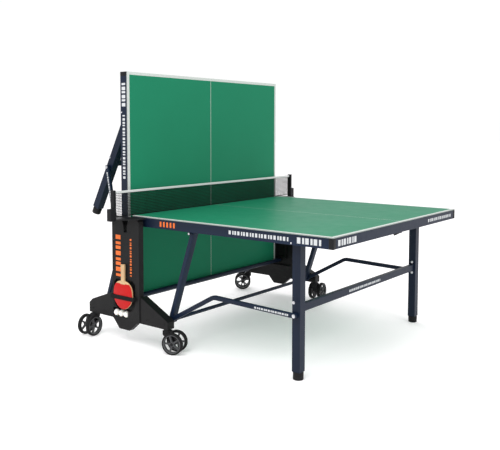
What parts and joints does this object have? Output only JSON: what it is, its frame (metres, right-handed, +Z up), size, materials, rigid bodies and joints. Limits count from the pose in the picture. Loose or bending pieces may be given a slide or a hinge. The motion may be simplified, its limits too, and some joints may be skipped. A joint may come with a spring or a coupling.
{
  "type": "ping pong table",
  "caption": "Full-size folding ping pong table on a wheeled base, one half flat and the other raised, with net, paddle and balls.",
  "frame": {"origin": "middle of the table's box at floor level", "axes": "+X along the table towards the flat half's outer end, +Y across it towards the far side, +Z up"},
  "size_m": [1.8024, 1.89, 1.61],
  "materials": {
    "board_green": "low-sheen coated sheet",
    "frame_navy": "powder coat",
    "moulding_black": "fine grain",
    "strap_black": "matte",
    "shaft_steel": "turned",
    "net_black": "knotted mesh",
    "ball_white": "smooth",
    "paddle_red": "rubber on a wooden blade",
    "tyre_black": "soft rubber",
    "fitting_black": "smooth"
  },
  "bodies": {
    "root": {"near_column": "moulding_black", "far_column": "moulding_black", "near_base_beam": "moulding_black", "far_base_beam": "moulding_black", "near_net_post": "moulding_black", "far_net_post": "moulding_black", "near_strap": "strap_black", "far_strap": "strap_black", "front_base_axle": "frame_navy", "rear_base_axle": "frame_navy", "centre_tube": "frame_navy", "net": "net_black", "ball_1": "ball_white", "ball_2": "ball_white", "ball_3": "ball_white"},
    "paddle": {"paddle": "paddle_red"},
    "front_carriage": {"front_guide_shaft": "shaft_steel"},
    "front_half": {"front_board": "board_green", "front_near_rail": "frame_navy", "front_far_rail": "frame_navy", "front_inner_rail": "frame_navy", "front_outer_rail": "frame_navy"},
    "front_legs": {"front_near_leg": "frame_navy", "front_far_leg": "frame_navy", "front_leg_crossbar": "frame_navy"},
    "front_braces": {"front_near_brace": "frame_navy", "front_far_brace": "frame_navy"},
    "front_struts": {"front_near_strut": "frame_navy", "front_far_strut": "frame_navy"},
    "front_lever": {"front_release_lever": "fitting_black"},
    "front_near_foot": {"front_near_foot": "fitting_black"},
    "front_far_foot": {"front_far_foot": "fitting_black"},
    "rear_carriage": {"rear_guide_shaft": "shaft_steel"},
    "rear_half": {"rear_board": "board_green", "rear_near_rail": "frame_navy", "rear_far_rail": "frame_navy", "rear_inner_rail": "frame_navy", "rear_outer_rail": "frame_navy"},
    "rear_legs": {"rear_near_leg": "frame_navy", "rear_far_leg": "frame_navy", "rear_leg_crossbar": "frame_navy"},
    "rear_braces": {"rear_near_brace": "frame_navy", "rear_far_brace": "frame_navy"},
    "rear_struts": {"rear_near_strut": "frame_navy", "rear_far_strut": "frame_navy"},
    "rear_lever": {"rear_release_lever": "fitting_black"},
    "rear_near_foot": {"rear_near_foot": "fitting_black"},
    "rear_far_foot": {"rear_far_foot": "fitting_black"},
    "front_near_caster": {"front_near_caster_fork": "fitting_black"},
    "front_near_left_wheel": {"front_near_left_wheel": "tyre_black"},
    "front_near_right_wheel": {"front_near_right_wheel": "tyre_black"},
    "front_far_caster": {"front_far_caster_fork": "fitting_black"},
    "front_far_left_wheel": {"front_far_left_wheel": "tyre_black"},
    "front_far_right_wheel": {"front_far_right_wheel": "tyre_black"},
    "rear_near_caster": {"rear_near_caster_fork": "fitting_black"},
    "rear_near_left_wheel": {"rear_near_left_wheel": "tyre_black"},
    "rear_near_right_wheel": {"rear_near_right_wheel": "tyre_black"},
    "rear_far_caster": {"rear_far_caster_fork": "fitting_black"},
    "rear_far_left_wheel": {"rear_far_left_wheel": "tyre_black"},
    "rear_far_right_wheel": {"rear_far_right_wheel": "tyre_black"}
  },
  "joints": [
    {"name": "paddle_lift", "type": "slide", "parent": "root", "child": "paddle", "axis": [0, 0, 1], "range_m": [0, 0.085]},
    {"name": "front_guide_slide", "type": "slide", "parent": "root", "child": "front_carriage", "axis": [0, 0, -1], "range_m": [0, 0.429]},
    {"name": "front_fold", "type": "hinge", "parent": "front_carriage", "child": "front_half", "pos_m": [-0.4002, 0, 0.73], "axis": [0, -1, 0], "range_deg": [0, 90]},
    {"name": "front_leg_fold", "type": "hinge", "parent": "front_half", "child": "front_legs", "pos_m": [0.6683, 0, 0.71], "axis": [0, 1, 0], "range_deg": [0, 62.71]},
    {"name": "front_brace_swing", "type": "hinge", "parent": "root", "child": "front_braces", "pos_m": [-0.1847, 0, 0.168], "axis": [0, -1, 0], "range_deg": [0, 37.03]},
    {"name": "front_strut_swing", "type": "hinge", "parent": "root", "child": "front_struts", "pos_m": [-0.1847, 0, 0.168], "axis": [0, -1, 0], "range_deg": [0, 80.51]},
    {"name": "front_lever_turn", "type": "hinge", "parent": "front_half", "child": "front_lever", "pos_m": [0.8903, 0, 0.695], "axis": [0, -1, 0], "range_deg": [0, 35], "stiffness_Nm_per_rad": 0.03, "springref_deg": -20.05},
    {"name": "front_near_foot_turn", "type": "hinge", "parent": "front_legs", "child": "front_near_foot", "pos_m": [0.6683, -0.688, 0], "axis": [0, 0, 1], "continuous": true},
    {"name": "front_far_foot_turn", "type": "hinge", "parent": "front_legs", "child": "front_far_foot", "pos_m": [0.6683, 0.688, 0], "axis": [0, 0, 1], "continuous": true},
    {"name": "rear_guide_slide", "type": "slide", "parent": "root", "child": "rear_carriage", "axis": [0, 0, 1], "range_m": [0, 0.429]},
    {"name": "rear_fold", "type": "hinge", "parent": "rear_carriage", "child": "rear_half", "pos_m": [-0.5232, 0, 0.3015], "axis": [0, -1, 0], "range_deg": [0, 90]},
    {"name": "rear_leg_fold", "type": "hinge", "parent": "rear_half", "child": "rear_legs", "pos_m": [-0.5432, 0, 1.37], "axis": [0, 1, 0], "range_deg": [0, 62.71]},
    {"name": "rear_brace_swing", "type": "hinge", "parent": "root", "child": "rear_braces", "pos_m": [-0.7387, 0, 0.168], "axis": [0, -1, 0], "range_deg": [0, 37.03]},
    {"name": "rear_strut_swing", "type": "hinge", "parent": "root", "child": "rear_struts", "pos_m": [-0.7387, 0, 0.168], "axis": [0, -1, 0], "range_deg": [0, 80.51]},
    {"name": "rear_lever_turn", "type": "hinge", "parent": "rear_half", "child": "rear_lever", "pos_m": [-0.5582, 0, 1.592], "axis": [0, 1, 0], "range_deg": [0, 35], "stiffness_Nm_per_rad": 0.03, "springref_deg": -20.05},
    {"name": "rear_near_foot_turn", "type": "hinge", "parent": "rear_legs", "child": "rear_near_foot", "pos_m": [-0.86926, -0.688, 0.7393], "axis": [0.4592, 0, 0.8883], "continuous": true},
    {"name": "rear_far_foot_turn", "type": "hinge", "parent": "rear_legs", "child": "rear_far_foot", "pos_m": [-0.86926, 0.688, 0.7393], "axis": [0.4592, 0, 0.8883], "continuous": true},
    {"name": "front_near_swivel", "type": "hinge", "parent": "root", "child": "front_near_caster", "pos_m": [-0.1517, -0.79, 0.15], "axis": [0, 0, 1], "continuous": true},
    {"name": "front_near_left_roll", "type": "hinge", "parent": "front_near_caster", "child": "front_near_left_wheel", "pos_m": [-0.12139, -0.74172, 0.0625], "axis": [-0.342, 0.9397, 0], "continuous": true},
    {"name": "front_near_right_roll", "type": "hinge", "parent": "front_near_caster", "child": "front_near_right_wheel", "pos_m": [-0.09744, -0.8075, 0.0625], "axis": [-0.342, 0.9397, 0], "continuous": true},
    {"name": "front_far_swivel", "type": "hinge", "parent": "root", "child": "front_far_caster", "pos_m": [-0.1517, 0.79, 0.15], "axis": [0, 0, 1], "continuous": true},
    {"name": "front_far_left_roll", "type": "hinge", "parent": "front_far_caster", "child": "front_far_left_wheel", "pos_m": [-0.19121, 0.8311, 0.0625], "axis": [-0.9945, -0.1045, 0], "continuous": true},
    {"name": "front_far_right_roll", "type": "hinge", "parent": "front_far_caster", "child": "front_far_right_wheel", "pos_m": [-0.12159, 0.83841, 0.0625], "axis": [-0.9945, -0.1045, 0], "continuous": true},
    {"name": "rear_near_swivel", "type": "hinge", "parent": "root", "child": "rear_near_caster", "pos_m": [-0.7717, -0.79, 0.15], "axis": [0, 0, 1], "continuous": true},
    {"name": "rear_near_left_roll", "type": "hinge", "parent": "rear_near_caster", "child": "rear_near_left_wheel", "pos_m": [-0.73365, -0.83245, 0.0625], "axis": [0.9976, 0.0698, 0], "continuous": true},
    {"name": "rear_near_right_roll", "type": "hinge", "parent": "rear_near_caster", "child": "rear_near_right_wheel", "pos_m": [-0.80348, -0.83733, 0.0625], "axis": [0.9976, 0.0698, 0], "continuous": true},
    {"name": "rear_far_swivel", "type": "hinge", "parent": "root", "child": "rear_far_caster", "pos_m": [-0.7717, 0.79, 0.15], "axis": [0, 0, 1], "continuous": true},
    {"name": "rear_far_left_roll", "type": "hinge", "parent": "rear_far_caster", "child": "rear_far_left_wheel", "pos_m": [-0.78658, 0.73497, 0.0625], "axis": [0.6018, -0.7986, 0], "continuous": true},
    {"name": "rear_far_right_roll", "type": "hinge", "parent": "rear_far_caster", "child": "rear_far_right_wheel", "pos_m": [-0.8287, 0.79087, 0.0625], "axis": [0.6018, -0.7986, 0], "continuous": true}
  ],
  "couplings": [
    {"joint": "front_guide_slide", "follows": "front_fold", "m_per_rad": 0.27279},
    {"joint": "front_leg_fold", "follows": "front_fold", "ratio": 0.69625},
    {"joint": "front_brace_swing", "follows": "front_fold", "ratio": 0.41094},
    {"joint": "front_strut_swing", "follows": "front_fold", "ratio": 0.89398},
    {"joint": "rear_guide_slide", "follows": "rear_fold", "m_per_rad": 0.27279},
    {"joint": "rear_leg_fold", "follows": "rear_fold", "ratio": 0.69625},
    {"joint": "rear_brace_swing", "follows": "rear_fold", "ratio": 0.41094},
    {"joint": "rear_strut_swing", "follows": "rear_fold", "ratio": 0.89398}
  ]
}
